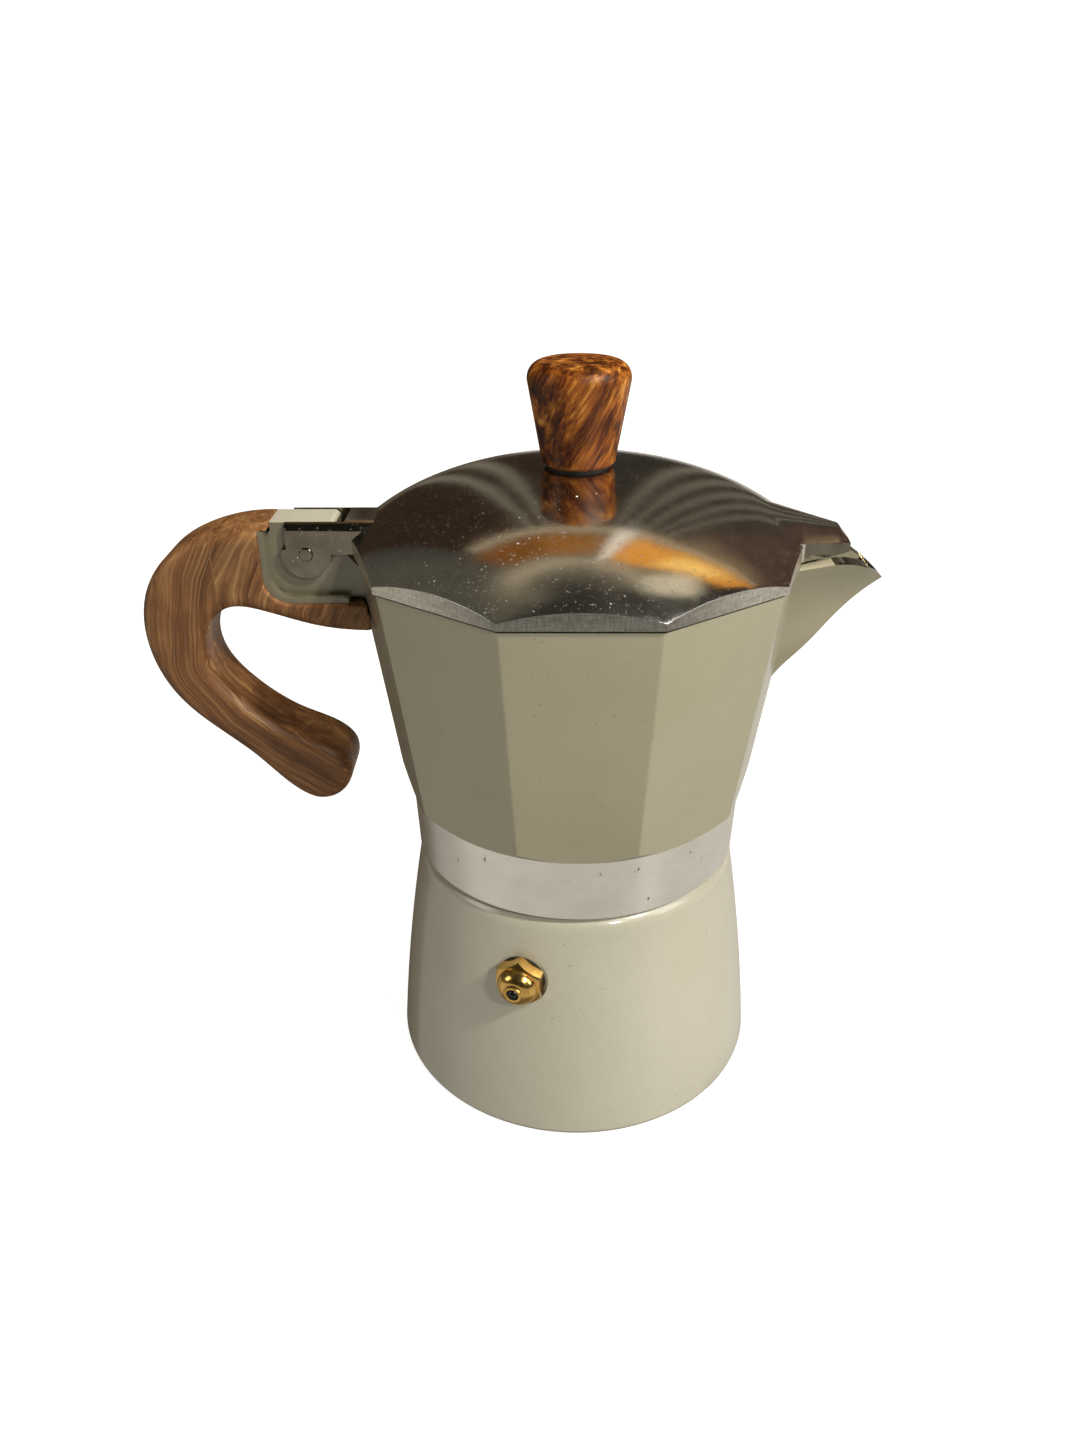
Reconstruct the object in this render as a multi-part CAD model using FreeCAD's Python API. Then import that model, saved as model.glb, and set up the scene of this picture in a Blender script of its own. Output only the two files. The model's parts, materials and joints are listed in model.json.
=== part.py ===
"""Stovetop moka pot: boiler, funnel, collector, hinged lid, hook handle and safety valve.

Millimetres. The origin is the centre of the boiler's underside, +Z is up, +X points to the
spout and -X to the handle. Each piece is one solid, exported as parts/NODE.step.
"""
import FreeCAD, Part
import math
import os
from FreeCAD import Placement, Rotation, Vector

# ---- driving dimensions -------------------------------------------------------------------
BASE_R = 42.0               # boiler foot
FLANK_R = 39.3              # boiler flank at mid height
FLANK_MID_Z = 27.0
SHOULDER_R = 35.7           # boiler shoulder, just under the band
SHOULDER_Z = 54.2
SHOULDER_ROUND = 3.6        # rounded shoulder, which leaves a groove under the band
WALL = 3.0                  # cast wall of the boiler
FLOOR_Z = 3.6
NECK_R = 30.9               # root of the boiler's thread
NECK_CREST_R = 31.7
RIM_Z = 65.0
MOUTH_R = 28.5
THREAD_PITCH = 2.6
THREAD_TURNS = 4
THREAD_Z = 56.4             # lowest turn

BAND_Z0 = 54.5              # bare skirt of the collector, lower edge
BAND_R0 = 35.62
BAND_Z1 = 69.4              # where the painted facets begin
BAND_R1 = 36.3
PAINT_LIP = 0.45            # the painted body overhangs the band by this much
SKIRT_BORE_R = 32.7
SKIRT_CREST_R = 31.95

SPOUT_LEAN = 0.775          # run of the keel per unit of height
SPOUT_KEEL_X = 41.1         # keel's lower end
SPOUT_KEEL_Z = 90.8
SPOUT_SPREAD = 0.54         # half width of the spout per unit behind the keel
SPOUT_BACK_X = 30.0
LIP_X = 56.6                # where the keel bends out into the pouring lip
LIP_Z = 110.8
LIP_LEAN = 1.3
LIP_FLARE = [               # height, and how far the keel has bent out at it
    (108.6, 0.1), (112.0, 0.75), (115.4, 2.45), (119.0, 6.2), (122.6, 11.5)]
SPOUT_TOP = [(50.0, 121.9), (53.9, 121.2), (57.5, 119.6), (60.5, 117.5), (62.6, 115.4)]

SIDES = 10
FACET_R0 = 38.6             # circumradius of the decagon at BAND_Z1
FACET_R1 = 46.2             # circumradius of the decagon at the collector's top
BODY_TOP_Z = 122.0
CORNER_ROUND = 1.2
BODY_WALL = 2.5
BODY_FLOOR_Z = 76.0

COLUMN_SEAT_R = 7.0
COLUMN_TOP_Z = 112.0
COLUMN_BORE_R = 4.0

PLATE_Z = 69.5              # underside of the filter plate
PLATE_R = 29.4
PLATE_T = 0.6
GASKET_R = (26.2, 31.5)
GASKET_Z = (65.95, 69.45)

BASKET_R = 27.5
BASKET_FLOOR_Z = 46.0
FLANGE_R = 30.3
FLANGE_Z = (65.05, 65.85)
SHEET = 0.8
TUBE_R = 5.5
TUBE_Z = (6.0, 40.0)
CONE_Z = 37.0

LID_R = 46.9                # circumradius of the lid's decagon
LID_Z0 = 122.57
LID_APEX_Z = 138.9
DOME_R = 101.0              # crown radius of the dome
DOME_DROOP = 3.36           # extra fall at the rim
LID_SHEET = 1.8
LID_SEAT_R = 6.5            # flat seat under the knob
LID_SEAT_Z = 138.7
COVER_SECTIONS = [          # x, half width, top of the upright side, ridge
    (34.0, 16.5, 128.0, 131.6),
    (43.8, 10.8, 126.2, 129.0),
    (52.4, 5.9, 124.8, 126.7),
    (54.1, 4.7, 124.3, 124.7),
]

PIN_X = -54.4               # hinge axis, along Y
PIN_Z = 122.4
PIN_R = 1.4
PIN_FIT = 0.05
EAR_R = 5.0
ARM_W = 5.8                 # half width of the lid's arm
ARM_WALL = 1.15
ARM_TOP_Z = 129.0
ARM_END_X = -58.3
WEB_END_X = -46.3
LUG_W = 4.3                 # half width of the collector's lug
LUG_TOP_Z = 128.6
LUG_TIP_X = -48.6
LUG_SWING_R = 7.9           # the lid's rim swings round the lug outside this radius
POCKET_X = -62.3            # clearance pocket round the ears
POCKET_Z = 113.4
POCKET_ROUND = 4.5
LINER = 1.2                 # painted lip that lines the pocket
LINER_W = 6.7
LINER_TOP_Z = 127.4

GRIP_W = 7.6                # half width of the handle
GRIP_ROUND = 2.8
GRIP_TOP_Z = 128.4
TONGUE_GAP = 0.35

SCREW_R = 2.0
SCREW_FIT = 0.05
HANDLE_SCREW_X = -53.0
HANDLE_HEAD_Z = 109.6       # seat of the washer under the handle's screw

KNOB_Z = (139.4, 159.2)
KNOB_R = (7.25, 9.95)
KNOB_ROUND = 3.2
INSERT_R = 3.6
INSERT_Z = (139.4, 149.5)
LID_UNDER_Z = 137.1         # lid's underside at its centre

VALVE_ANGLE = 252.0         # degrees from +X, seen from above
VALVE_Z = 39.3
VALVE_SEAT = 36.7           # distance of the spot face from the pot's axis
VALVE_AF = 9.6
VALVE_SHANK_R = 4.0
VALVE_FACE = VALVE_SEAT + 0.4       # back of the hexagon, on its washer
VALVE_HEX_T = 2.9
VALVE_NOSE = VALVE_FACE + 5.9       # front of the collar round the pin
VALVE_INNER = VALVE_SEAT - 6.2      # water side end of the shank
CAVITY_R = 2.6
STEM_R = 1.3
CROWN_R = 4.35                      # domed crown in front of the hexagon
COLLAR_R = 1.95
RETAINER_T = 1.0
PLUG_T = 1.2

# ---- helpers ------------------------------------------------------------------------------
UP = Vector(0, 0, 1)


def save(name, shape):
    """Write one sub-part, after checking that it is sound."""
    assert shape.isValid() and shape.Volume > 0, name
    shape.exportStep("parts/" + name + ".step")


def revolve(points):
    """Solid of revolution about Z of a closed (r, z) outline.

    A point given as (r, z, "mid") is the middle of an arc between its two neighbours.
    """
    def at(point):
        return Vector(point[0], 0, point[1])
    edges = []
    outline = list(points) + [points[0]]
    i = 0
    while i < len(outline) - 1:
        if len(outline[i + 1]) == 3:
            edges.append(Part.Arc(at(outline[i]), at(outline[i + 1]), at(outline[i + 2])).toShape())
            i += 2
        else:
            edges.append(Part.LineSegment(at(outline[i]), at(outline[i + 1])).toShape())
            i += 1
    face = Part.Face(Part.Wire(edges))
    return face.revolve(Vector(0, 0, 0), UP, 360)


def ring(r_in, r_out, z0, z1):
    """Flat ring between two heights."""
    return Part.makeCylinder(r_out, z1 - z0, Vector(0, 0, z0)).cut(
        Part.makeCylinder(r_in, z1 - z0, Vector(0, 0, z0)))


def polygon(points):
    """Closed wire through 3-D points."""
    corners = [Vector(*p) for p in points]
    return Part.makePolygon(corners + [corners[0]])


def decagon(circumradius, z):
    """Decagon wire with a corner on +X."""
    step = 2 * math.pi / SIDES
    return polygon([(circumradius * math.cos(i * step), circumradius * math.sin(i * step), z)
                    for i in range(SIDES)])


def frustum(r0, z0, r1, z1):
    """Decagonal frustum between two heights."""
    return Part.makeLoft([decagon(r0, z0), decagon(r1, z1)], True, True)


def plate_y(points, half_width):
    """Polygon in the XZ plane, given thickness both ways along Y."""
    face = Part.Face(polygon([(x, -half_width, z) for x, z in points]))
    return face.extrude(Vector(0, 2 * half_width, 0))


def cylinder_y(r, x, z, half_width):
    """Cylinder along Y, centred on Y = 0."""
    return Part.makeCylinder(r, 2 * half_width, Vector(x, -half_width, z), Vector(0, 1, 0))


def slab(x0, x1, y0, y1, z0, z1):
    """Box between two corners."""
    return Part.makeBox(x1 - x0, y1 - y0, z1 - z0, Vector(x0, y0, z0))


def facet_radius(z):
    """Circumradius of the painted body at a height."""
    return FACET_R0 + (FACET_R1 - FACET_R0) * (z - BAND_Z1) / (BODY_TOP_Z - BAND_Z1)


def dome_z(r):
    """Height of the lid's outer surface at a radius."""
    return LID_APEX_Z - (DOME_R - math.sqrt(DOME_R ** 2 - r ** 2)) - DOME_DROOP * (r / LID_R) ** 6


def rounded(shape, radius, pick):
    """Fillet the edges that pick() accepts."""
    edges = [e for e in shape.Edges if pick(e)]
    return shape.makeFillet(radius, edges)


# ---- boiler -------------------------------------------------------------------------------
def thread_rings(root, crest, count):
    """Ridges of a thread, as rings with sloping sides, rooted a little inside the wall."""
    sunk = root - math.copysign(0.3, crest - root)
    ridges = []
    for i in range(count):
        z = THREAD_Z + i * THREAD_PITCH
        ridges.append(revolve([(sunk, z - 0.8), (root, z - 0.8), (crest, z - 0.3),
                               (crest, z + 0.3), (root, z + 0.8), (sunk, z + 0.8)]))
    return ridges


def boiler_shell():
    outer = [(0, 0), (BASE_R - 1.5, 0), (BASE_R - 0.42, 0.45, "mid"), (BASE_R - 0.05, 1.6),
             (FLANK_R, FLANK_MID_Z, "mid"), (SHOULDER_R, SHOULDER_Z - SHOULDER_ROUND),
             (SHOULDER_R - 0.29 * SHOULDER_ROUND, SHOULDER_Z - 0.29 * SHOULDER_ROUND, "mid"),
             (SHOULDER_R - SHOULDER_ROUND, SHOULDER_Z),
             (NECK_R, SHOULDER_Z), (NECK_R, RIM_Z - 0.4), (NECK_R - 0.4, RIM_Z)]
    inner = [(MOUTH_R, RIM_Z), (MOUTH_R, SHOULDER_Z), (SHOULDER_R - WALL - 0.3, SHOULDER_Z - 3.4),
             (FLANK_R - WALL, FLANK_MID_Z, "mid"), (BASE_R - WALL - 0.5, FLOOR_Z + 4.0),
             (BASE_R - WALL - 1.7, FLOOR_Z + 1.2, "mid"), (BASE_R - WALL - 4.5, FLOOR_Z),
             (0, FLOOR_Z)]
    shell = revolve(outer + inner)
    shell = shell.fuse(thread_rings(NECK_R, NECK_CREST_R, THREAD_TURNS)).removeSplitter()
    spot = Part.makeCylinder(VALVE_AF / math.sqrt(3) + 0.25, 10, Vector(0, 0, VALVE_SEAT))
    hole = Part.makeCylinder(VALVE_SHANK_R + 0.03, 12, Vector(0, 0, VALVE_SEAT - 8))
    return shell.cut(on_valve_axis(spot.fuse(hole)))


# ---- safety valve, drawn along +Z from the pot's axis and turned into place -----------------
def on_valve_axis(shape):
    turn = Rotation(UP, VALVE_ANGLE).multiply(Rotation(Vector(0, 1, 0), 90))
    placed = shape.copy()
    placed.Placement = Placement(Vector(0, 0, VALVE_Z), turn).multiply(shape.Placement)
    return placed


def valve_washer():
    return on_valve_axis(ring(VALVE_SHANK_R + 0.1, VALVE_AF / 2 + 0.3, VALVE_SEAT, VALVE_FACE))


def valve_body():
    corner = VALVE_AF / math.sqrt(3)
    step = math.pi / 3
    hex_top = VALVE_FACE + VALVE_HEX_T
    hexagon = Part.Face(polygon([(corner * math.cos(i * step), corner * math.sin(i * step), VALVE_FACE)
                                 for i in range(6)])).extrude(Vector(0, 0, VALVE_HEX_T))
    chamfer = revolve([(0, VALVE_FACE), (corner + 0.1, VALVE_FACE), (corner + 0.1, hex_top - 1.1),
                       (corner - 0.4, hex_top - 0.4, "mid"), (CROWN_R + 0.1, hex_top), (0, hex_top)])
    crown = revolve([(0, VALVE_FACE), (CROWN_R, VALVE_FACE), (CROWN_R, hex_top + 0.3),
                     (CROWN_R - 0.75, VALVE_NOSE - 1.25, "mid"), (COLLAR_R + 0.25, VALVE_NOSE - 0.45),
                     (COLLAR_R, VALVE_NOSE - 0.3), (COLLAR_R - 0.12, VALVE_NOSE), (0, VALVE_NOSE)])
    shank = Part.makeCylinder(VALVE_SHANK_R, VALVE_FACE - VALVE_INNER, Vector(0, 0, VALVE_INNER))
    cavity = Part.makeCylinder(CAVITY_R, VALVE_NOSE - 2.4 - VALVE_INNER, Vector(0, 0, VALVE_INNER))
    bore = Part.makeCylinder(STEM_R + PIN_FIT, 6, Vector(0, 0, VALVE_NOSE - 4))
    body = hexagon.common(chamfer).fuse([crown, shank]).cut(cavity.fuse(bore))
    return on_valve_axis(body)


def valve_retainer():
    return on_valve_axis(ring(1.2, CAVITY_R, VALVE_INNER, VALVE_INNER + RETAINER_T))


def valve_pin():
    z0 = VALVE_INNER + RETAINER_T + 0.02
    tip = VALVE_NOSE + 0.5
    return on_valve_axis(revolve([
        (0, z0), (CAVITY_R - 0.25, z0), (CAVITY_R - 0.25, z0 + PLUG_T), (STEM_R, z0 + PLUG_T),
        (STEM_R, tip - 0.9), (STEM_R * 0.76, tip - 0.28, "mid"), (0.3, tip), (0, tip)]))


def valve_spring():
    z0 = VALVE_INNER + RETAINER_T + PLUG_T + 0.45
    length = VALVE_NOSE - 2.4 - z0 - 0.4
    wire_r = 0.28
    coil_r = 1.95
    helix = Part.makeHelix(length / 6.0, length, coil_r)
    section = Part.Wire(Part.makeCircle(wire_r, Vector(coil_r, 0, 0), Vector(0, 1, 0)))
    coil = Part.Wire(helix).makePipeShell([section], True, True)
    coil.translate(Vector(0, 0, z0))
    return on_valve_axis(coil)


# ---- funnel -------------------------------------------------------------------------------
def funnel_basket():
    flange_top = FLANGE_Z[1]
    cone_r = TUBE_R + 1.2
    return revolve([
        (cone_r - SHEET, CONE_Z), (cone_r, CONE_Z), (cone_r, CONE_Z + 2.4),
        (BASKET_R - 4.0, BASKET_FLOOR_Z - 3.2), (BASKET_R - 0.8, BASKET_FLOOR_Z - 1.6, "mid"),
        (BASKET_R, BASKET_FLOOR_Z + 1.4), (BASKET_R, FLANGE_Z[0]), (FLANGE_R, FLANGE_Z[0]),
        (FLANGE_R, flange_top), (BASKET_R - SHEET, flange_top),
        (BASKET_R - SHEET, BASKET_FLOOR_Z + 1.4),
        (BASKET_R - SHEET - 0.75, BASKET_FLOOR_Z - 1.15, "mid"),
        (BASKET_R - SHEET - 3.6, BASKET_FLOOR_Z - 2.35), (cone_r - SHEET, CONE_Z + 3.2)])


def funnel_tube():
    """Straight tube, slightly belled at its foot and rolled into the cone's collar."""
    outer = TUBE_R + 1.2 - SHEET
    bell = 0.9
    return revolve([
        (outer - SHEET, TUBE_Z[1]), (outer - SHEET, TUBE_Z[0] + 5),
        (outer - SHEET + bell, TUBE_Z[0]), (outer + bell, TUBE_Z[0]),
        (outer, TUBE_Z[0] + 5), (outer, TUBE_Z[1])])


def perforated(r, z0, z1, hole_r, rings, spacing):
    """Disc with circles of holes."""
    disc = Part.makeCylinder(r, z1 - z0, Vector(0, 0, z0))
    holes = [Part.makeCylinder(hole_r, z1 - z0 + 2, Vector(0, 0, z0 - 1))]
    for n in range(1, rings + 1):
        for i in range(6 * n):
            angle = math.radians(60.0 * i / n)
            centre = Vector(n * spacing * math.cos(angle), n * spacing * math.sin(angle), z0 - 1)
            holes.append(Part.makeCylinder(hole_r, z1 - z0 + 2, centre))
    return disc.cut(holes)


def funnel_strainer():
    return perforated(BASKET_R - SHEET - 0.05, BASKET_FLOOR_Z + 1.6, BASKET_FLOOR_Z + 2.3, 0.8, 5, 4.6)


# ---- seal and filter plate ----------------------------------------------------------------
def gasket():
    return ring(GASKET_R[0], GASKET_R[1], GASKET_Z[0], GASKET_Z[1])


def filter_plate():
    return perforated(PLATE_R, PLATE_Z, PLATE_Z + PLATE_T, 0.6, 6, 3.7)


# ---- collector ----------------------------------------------------------------------------
def leaning_vee(keel_x, keel_z, lean, depth, height):
    """V-shaped prism that leans outwards as it rises, its keel in the plane Y = 0."""
    half = SPOUT_SPREAD * depth
    back = keel_x - depth
    vee = Part.Face(polygon([(keel_x, 0, keel_z), (back, half, keel_z), (back, -half, keel_z)]))
    return vee.extrude(Vector(lean * height, 0, height))


def above_spout():
    """Everything above the rim of the spout, whose line falls in a curve to the tip."""
    half = 30.0
    rim = Part.BSplineCurve()
    rim.interpolate(Points=[Vector(x, -half, z) for x, z in SPOUT_TOP])
    first, last = SPOUT_TOP[0], SPOUT_TOP[-1]
    rest = [last, (last[0] + 8, last[1] - 8), (last[0] + 8, 140.0), (30.0, 140.0), (30.0, first[1]),
            first]
    sides = [Part.LineSegment(Vector(a[0], -half, a[1]), Vector(b[0], -half, b[1])).toShape()
             for a, b in zip(rest, rest[1:])]
    return Part.Face(Part.Wire([rim.toShape()] + sides)).extrude(Vector(0, 2 * half, 0))


def spout_outside():
    """V-shaped spout whose keel curves out into the pouring lip."""
    heights = [(SPOUT_KEEL_Z, 0.0), (100.0, 0.0), (105.0, 0.0)] + LIP_FLARE
    wires = []
    for z, flare in heights:
        main = SPOUT_KEEL_X + SPOUT_LEAN * (z - SPOUT_KEEL_Z)
        half = SPOUT_SPREAD * (main - SPOUT_BACK_X)
        wires.append(polygon([(main + flare, 0, z), (SPOUT_BACK_X, half, z), (SPOUT_BACK_X, -half, z)]))
    spout = Part.makeLoft(wires, True, False).cut(above_spout())
    return spout.common(slab(30.0, 70.0, -14.0, 14.0, SPOUT_KEEL_Z, BODY_TOP_Z))


def spout_channel():
    set_back = 3.0
    rise = 4.0
    main = leaning_vee(SPOUT_KEEL_X - set_back, SPOUT_KEEL_Z, SPOUT_LEAN, 22.0, 40.0)
    lip = leaning_vee(LIP_X - set_back + 1.3, LIP_Z, LIP_LEAN, 8.0, 20.0)
    return main.fuse(lip).common(slab(36.0, 70.0, -12.2, 12.2, SPOUT_KEEL_Z + rise, BODY_TOP_Z + 2))


def pocket_outline(grow):
    """Side view of the clearance pocket at the hinge, grown by a distance."""
    left = POCKET_X - grow
    low = POCKET_Z - grow
    round_r = POCKET_ROUND + grow
    arc = [(left + round_r - round_r * math.cos(a), low + round_r - round_r * math.sin(a))
           for a in [math.radians(9 * i) for i in range(11)]]
    return [(-30.0, 140.0), (left, 140.0)] + arc + [(-30.0, low)]


def lug():
    """Web of the hinge lug with the painted lip that the handle is bedded on."""
    web = plate_y([(-40.0, 108.0), (-40.0, LUG_TOP_Z), (POCKET_X + 0.8, LUG_TOP_Z),
                   (POCKET_X + 0.8, LINER_TOP_Z - 0.4), (POCKET_X, LINER_TOP_Z - 1.6),
                   (POCKET_X - LINER / 2, POCKET_Z + 3), (POCKET_X + 4, POCKET_Z - LINER / 2),
                   (-44.0, POCKET_Z - LINER / 2)], LUG_W)
    web = web.common(plate_y(pocket_outline(LINER), LUG_W))
    notch = plate_y([(LUG_TIP_X, 140), (LUG_TIP_X, 124.4), (-44.6, 119.5), (-30, 119.5), (-30, 140)], 20)
    beyond = slab(PIN_X, -40.0, -20, 20, 124.4, 140).cut(cylinder_y(LUG_SWING_R, PIN_X, PIN_Z, 21))
    lip = plate_y(pocket_outline(LINER), LINER_W).cut(plate_y(pocket_outline(0.0), LINER_W + 1))
    lip = lip.common(slab(-70, -46.5, -20, 20, 100, LINER_TOP_Z))
    return web.cut([notch, beyond]).fuse(lip)


def collector_body():
    body = frustum(FACET_R0, BAND_Z1, FACET_R1, BODY_TOP_Z)
    body = rounded(body, CORNER_ROUND, lambda e: abs(e.Vertexes[0].Z - e.Vertexes[1].Z) > 40)
    lip_r = BAND_R1 + PAINT_LIP
    turned = revolve([(0, BAND_Z1), (lip_r, BAND_Z1), (lip_r + 4.0, BAND_Z1 + 4.0),
                      (80, BAND_Z1 + 4.0), (80, BODY_TOP_Z), (0, BODY_TOP_Z)])
    body = body.common(turned)
    skirt = revolve([(0, BAND_Z0), (BAND_R0 - 0.4, BAND_Z0), (BAND_R0, BAND_Z0 + 0.4),
                     (BAND_R1, BAND_Z1), (BAND_R1, BAND_Z1 + 1), (0, BAND_Z1 + 1)])
    solid = body.fuse([skirt, spout_outside(), lug()])
    inside = frustum(facet_radius(BODY_FLOOR_Z) - BODY_WALL - 0.6, BODY_FLOOR_Z,
                     FACET_R1 - BODY_WALL + 0.05, BODY_TOP_Z + 0.001)
    socket = revolve([(0, BAND_Z0 - 1), (SKIRT_BORE_R, BAND_Z0 - 1), (SKIRT_BORE_R, GASKET_Z[0] - 0.1),
                      (GASKET_R[1], GASKET_Z[0]), (GASKET_R[1], PLATE_Z + PLATE_T + 0.05),
                      (GASKET_R[0] - 0.6, PLATE_Z + PLATE_T + 0.05),
                      (COLUMN_SEAT_R, BODY_FLOOR_Z - 2.4), (0, BODY_FLOOR_Z - 2.4)])
    well = Part.makeCylinder(COLUMN_SEAT_R, 10, Vector(0, 0, BODY_FLOOR_Z - 5))
    solid = solid.cut(inside).cut(socket).cut(well)
    solid = solid.fuse(thread_rings(SKIRT_BORE_R, SKIRT_CREST_R, THREAD_TURNS))
    solid = solid.cut(spout_channel())
    pin_hole = cylinder_y(PIN_R, PIN_X, PIN_Z, 20)
    screw_hole = Part.makeCylinder(SCREW_R + SCREW_FIT, 9.5, Vector(HANDLE_SCREW_X, 0, POCKET_Z - LINER))
    return solid.cut(pin_hole.fuse(screw_hole)).removeSplitter()


def coffee_column():
    """Hollow riser with a closed, rounded top and two side outlets."""
    column = revolve([
        (COLUMN_BORE_R, BODY_FLOOR_Z - 2.4), (COLUMN_SEAT_R - 0.02, BODY_FLOOR_Z - 2.4),
        (COLUMN_SEAT_R - 0.02, BODY_FLOOR_Z), (COLUMN_SEAT_R + 1.6, BODY_FLOOR_Z),
        (COLUMN_SEAT_R + 1.6, BODY_FLOOR_Z + 1.2), (COLUMN_BORE_R + 1.9, COLUMN_TOP_Z - 8),
        (COLUMN_BORE_R + 1.7, COLUMN_TOP_Z - 1.5), (COLUMN_BORE_R + 1.2, COLUMN_TOP_Z - 0.4, "mid"),
        (COLUMN_BORE_R, COLUMN_TOP_Z), (0, COLUMN_TOP_Z), (0, COLUMN_TOP_Z - 1.6),
        (COLUMN_BORE_R - 0.4, COLUMN_TOP_Z - 1.6), (COLUMN_BORE_R - 0.4, COLUMN_TOP_Z - 8)])
    outlets = slab(-1.8, 1.8, -12, 12, COLUMN_TOP_Z - 7, COLUMN_TOP_Z - 2.4)
    return column.cut(outlets)


def hinge_pin():
    pin = cylinder_y(PIN_R, PIN_X, PIN_Z, ARM_W + 0.35)
    return rounded(pin, 0.3, lambda e: e.Length < 2.1 * math.pi * PIN_R and len(e.Vertexes) == 1)


# ---- handle -------------------------------------------------------------------------------
GRIP_OUTER = [(-66.0, 128.25), (-75.0, 126.2), (-82.7, 121.9), (-88.2, 114.2), (-89.6, 103.5),
              (-84.8, 90.4), (-69.8, 75.9), (-61.3, 67.3)]
GRIP_TIP = [(-56.9, 65.3), (-52.6, 66.4), (-49.8, 70.0), (-49.5, 74.5), (-52.6, 78.3)]
GRIP_INNER = [(-60.5, 82.2), (-71.0, 89.8), (-76.5, 97.6), (-76.6, 105.4), (-72.0, 110.6),
              (-64.2, 110.0), (-52.3, 106.6), (-47.5, 105.95), (-43.6, 105.75)]
GRIP_ROOT = (-30.0, 105.7)


def curve(points):
    """Smooth edge through (x, z) points in the plane Y = -GRIP_W."""
    spline = Part.BSplineCurve()
    spline.interpolate(Points=[Vector(x, -GRIP_W, z) for x, z in points])
    return spline.toShape()


def line(a, b):
    return Part.LineSegment(Vector(a[0], -GRIP_W, a[1]), Vector(b[0], -GRIP_W, b[1])).toShape()


def handle_grip():
    hook = GRIP_OUTER + GRIP_TIP + GRIP_INNER
    top = [(GRIP_ROOT[0], GRIP_TOP_Z), (-62.0, GRIP_TOP_Z)]
    outline = [line(top[0], top[1]), curve([top[1]] + hook), line(hook[-1], GRIP_ROOT),
               line(GRIP_ROOT, top[0])]
    grip = Part.Face(Part.Wire(outline)).extrude(Vector(0, 2 * GRIP_W, 0))
    grip = rounded(grip, GRIP_ROUND, on_side)
    room = plate_y([(-30, 140), (POCKET_X + 0.8, 140), (POCKET_X + 0.8, 127.4),
                    (POCKET_X - LINER - 0.02, 127.4), (POCKET_X - LINER - 0.02, 120), (-30, 120)], 20)
    pocket = plate_y(pocket_outline(LINER + 0.02), 20).common(slab(-80, -20, -20, 20, 90, 127.4))
    foot_z, crest_z = 90.0, 130.0
    wall = frustum(facet_radius(foot_z) + TONGUE_GAP, foot_z, facet_radius(crest_z) + TONGUE_GAP, crest_z)
    wall = wall.common(slab(-60.0, -20.0, -GRIP_W - 1, GRIP_W + 1, foot_z, crest_z))
    top_cut = plate_y([(-61.6, 127.3), (-61.6, 140), (-20, 140), (-20, 127.3)], 20)
    screw = Part.makeCylinder(SCREW_R + 0.2, 20, Vector(HANDLE_SCREW_X, 0, 98))
    head = Part.makeCylinder(4.1, 9, Vector(HANDLE_SCREW_X, 0, HANDLE_HEAD_Z - 9))
    return grip.cut([room.common(top_cut), pocket, wall, top_cut, screw.fuse(head)]).removeSplitter()


def on_side(edge):
    """True for the grip's long edges, which lie in one of its two side planes."""
    ys = [edge.valueAt(edge.FirstParameter).y, edge.valueAt(edge.LastParameter).y]
    return abs(abs(ys[0]) - GRIP_W) < 1e-6 and abs(ys[0] - ys[1]) < 1e-6 and edge.Length > 40


def pan_screw(x, z_seat, z_tip, head_r, head_h):
    """Cross-recess screw that points up Z, its head below the seat."""
    head = Part.makeCylinder(head_r, head_h, Vector(0, 0, -head_h))
    head = rounded(head, head_h * 0.45, lambda e: e.BoundBox.ZMax < -head_h + 1e-6)
    shank = Part.makeCylinder(SCREW_R, abs(z_tip - z_seat), Vector(0, 0, 0))
    recess = slab(-1.5, 1.5, -0.35, 0.35, -head_h - 1, -head_h + 1.2)
    cross = recess.fuse(slab(-0.35, 0.35, -1.5, 1.5, -head_h - 1, -head_h + 1.2))
    screw = head.fuse(shank).cut(cross).removeSplitter()
    screw.translate(Vector(x, 0, z_seat))
    return screw


def handle_screw():
    return pan_screw(HANDLE_SCREW_X, HANDLE_HEAD_Z - 0.7, 120.0, 3.6, 2.2)


def handle_washer():
    washer = ring(SCREW_R + 0.2, 3.9, HANDLE_HEAD_Z - 0.7, HANDLE_HEAD_Z)
    washer.translate(Vector(HANDLE_SCREW_X, 0, 0))
    return washer


# ---- lid ----------------------------------------------------------------------------------
def dome(drop):
    """Solid under the dome's surface, lowered by drop."""
    radii = [0.0, 12.0, 22.0, 31.0, 38.0, 43.0, 47.5]
    spline = Part.BSplineCurve()
    spline.interpolate(Points=[Vector(r, 0, dome_z(r) - drop) for r in radii],
                       InitialTangent=Vector(1, 0, 0), FinalTangent=Vector(47.5, 0, -45.5))
    end = Vector(radii[-1], 0, dome_z(radii[-1]) - drop)
    foot = LID_Z0 - 3
    outline = [spline.toShape(), Part.LineSegment(end, Vector(radii[-1], 0, foot)).toShape(),
               Part.LineSegment(Vector(radii[-1], 0, foot), Vector(0, 0, foot)).toShape(),
               Part.LineSegment(Vector(0, 0, foot), Vector(0, 0, dome_z(0) - drop)).toShape()]
    return Part.Face(Part.Wire(outline)).revolve(Vector(0, 0, 0), UP, 360)


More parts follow.
